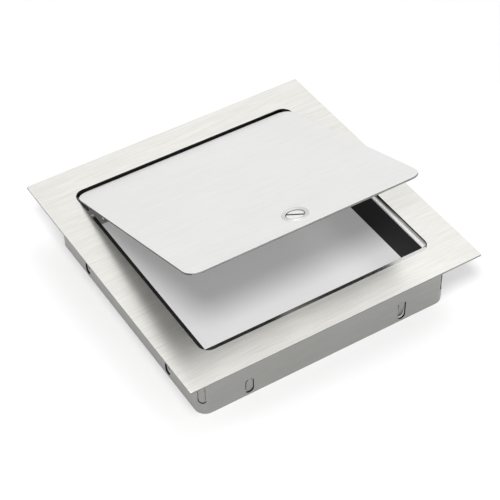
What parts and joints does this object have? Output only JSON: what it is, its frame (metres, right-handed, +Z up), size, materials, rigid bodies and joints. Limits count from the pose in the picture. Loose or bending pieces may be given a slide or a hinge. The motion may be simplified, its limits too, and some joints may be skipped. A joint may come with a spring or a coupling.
{
  "type": "deck hatch",
  "caption": "Square flush-mounted stainless steel deck hatch: a flanged box frame with a seat, a hinged flat lid and a coin-slot quarter-turn cam lock.",
  "frame": {"origin": "centre of the square frame, on the plane its skirt stands on", "axes": "+Z up, out of the deck; +Y towards the hinge side; -Y towards the lock and the lid's free edge; +X to the right seen from the lock side"},
  "size_m": [0.25, 0.25, 0.1147],
  "materials": {
    "brushed_steel": "brushed, grain along the width",
    "mill_steel": "mill finish, duller",
    "bare_steel": "bare, satin",
    "fine_steel": "very fine satin",
    "plated_lock": "satin plated",
    "lock_plug_steel": "turned",
    "fastener_steel": "plain fastener",
    "washer_nylon": "matt black"
  },
  "bodies": {
    "frame": {"flange_plate": "brushed_steel", "skirt_box": "mill_steel", "seat_rail_front": "bare_steel", "seat_rail_left": "bare_steel", "seat_rail_right": "bare_steel", "pivot_boss_left": "bare_steel", "pivot_boss_right": "bare_steel"},
    "lid": {"lid_plate": "fine_steel", "hinge_lug_left": "bare_steel", "hinge_lug_right": "bare_steel", "pivot_screw_left": "fastener_steel", "pivot_screw_right": "fastener_steel", "friction_washer_left": "washer_nylon", "friction_washer_right": "washer_nylon", "lock_housing": "plated_lock", "lock_washer": "fastener_steel", "lock_nut": "fastener_steel"},
    "lock_rotor": {"lock_plug": "lock_plug_steel", "lock_cam": "plated_lock", "cam_washer": "fastener_steel", "cam_screw": "fastener_steel"}
  },
  "joints": [
    {"name": "lid_hinge", "type": "hinge", "parent": "frame", "child": "lid", "pos_m": [0, 0.09396, 0.0489], "axis": [-1, 0, 0], "range_deg": [-19.5, 58]},
    {"name": "lock_turn", "type": "hinge", "parent": "lid", "child": "lock_rotor", "pos_m": [0, -0.06318, 0.10773], "axis": [0, -0.3338, -0.9426], "range_deg": [0, 90]}
  ]
}
